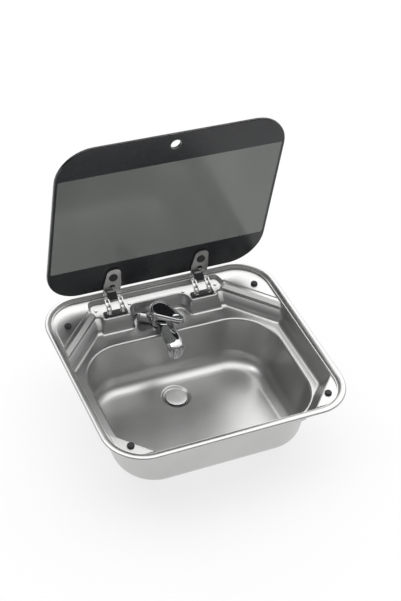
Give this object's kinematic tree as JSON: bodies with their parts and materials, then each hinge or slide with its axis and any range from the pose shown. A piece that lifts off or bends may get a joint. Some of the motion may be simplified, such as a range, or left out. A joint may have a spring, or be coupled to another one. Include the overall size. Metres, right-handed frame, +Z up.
{
  "type": "rv sink with glass lid",
  "caption": "Built-in stainless steel motorhome sink with a smoked glass lid on folding link hinges, a low single-lever tap with swivel spout, corner bumpers and a lift-out plug.",
  "frame": {"origin": "middle of the rolled rim, at the height of the worktop it sits on", "axes": "+Z up, +Y to the back where the lid is hinged, +X to the right seen from the front"},
  "size_m": [0.42, 0.37, 0.468],
  "materials": {
    "steel": "satin pressed stainless steel",
    "hinge_steel": "satin",
    "tap_chrome": "polished",
    "brass": "machined",
    "glass": "polished smoked safety glass with opaque black end bands",
    "black_rubber": "matt",
    "seal": "matt",
    "black_plastic": "fine moulded"
  },
  "bodies": {
    "root": {"sink_shell": "steel", "rim_seal": "seal", "front_left_bumper": "black_rubber", "front_right_bumper": "black_rubber", "back_left_bumper": "black_rubber", "back_right_bumper": "black_rubber", "plug_seal": "seal", "left_hinge_base": "black_plastic", "left_outer_rivet": "hinge_steel", "left_inner_rivet": "hinge_steel", "left_hinge_foot_a": "hinge_steel", "left_hinge_foot_b": "hinge_steel", "right_hinge_base": "black_plastic", "right_outer_rivet": "hinge_steel", "right_inner_rivet": "hinge_steel", "right_hinge_foot_a": "hinge_steel", "right_hinge_foot_b": "hinge_steel", "tap_seal": "seal", "tap_body": "tap_chrome", "tap_stem": "brass", "tap_washer": "hinge_steel", "tap_nut": "brass", "cold_inlet": "tap_chrome", "hot_inlet": "tap_chrome"},
    "hinge_arms": {"left_hinge_link_a": "hinge_steel", "left_hinge_link_b": "hinge_steel", "left_lower_pin_a": "hinge_steel", "left_lower_pin_b": "hinge_steel", "left_hinge_axle": "hinge_steel", "right_hinge_link_a": "hinge_steel", "right_hinge_link_b": "hinge_steel", "right_lower_pin_a": "hinge_steel", "right_lower_pin_b": "hinge_steel", "right_hinge_axle": "hinge_steel"},
    "lid": {"glass_lid": "glass", "left_lid_pad": "black_rubber", "left_lid_bracket": "hinge_steel", "left_axle_block": "black_plastic", "left_lid_screw": "black_plastic", "left_lid_nut": "black_plastic", "right_lid_pad": "black_rubber", "right_lid_bracket": "hinge_steel", "right_axle_block": "black_plastic", "right_lid_screw": "black_plastic", "right_lid_nut": "black_plastic"},
    "spout": {"spout": "tap_chrome", "aerator": "black_plastic"},
    "lever_base": {"lever_carrier": "brass"},
    "lever": {"lever_cap": "tap_chrome"},
    "plug": {"plug": "steel"}
  },
  "joints": [
    {"name": "arm_swing", "type": "hinge", "parent": "root", "child": "hinge_arms", "pos_m": [0, 0.1415, -0.0045], "axis": [1, 0, 0], "range_deg": [-48.92, 0.5]},
    {"name": "lid_fold", "type": "hinge", "parent": "hinge_arms", "child": "lid", "pos_m": [0, 0.15801, 0.00672], "axis": [1, 0, 0], "range_deg": [0, 134.42]},
    {"name": "spout_swivel", "type": "hinge", "parent": "root", "child": "spout", "pos_m": [-0.007, 0.121, -0.02], "axis": [0, 0, 1], "range_deg": [-45, 45]},
    {"name": "lever_turn", "type": "hinge", "parent": "root", "child": "lever_base", "pos_m": [-0.007, 0.121, -0.01], "axis": [0, 0, 1], "range_deg": [-83, 7]},
    {"name": "lever_lift", "type": "hinge", "parent": "lever_base", "child": "lever", "pos_m": [-0.01316, 0.12888, -0.013], "axis": [-0.788, -0.6157, 0], "range_deg": [0, 6]},
    {"name": "plug_lift", "type": "slide", "parent": "root", "child": "plug", "axis": [0, 0, 1], "range_m": [0, 0.03]}
  ],
  "couplings": [
    {"joint": "arm_swing", "follows": "lid_fold", "ratio": -0.36019}
  ]
}
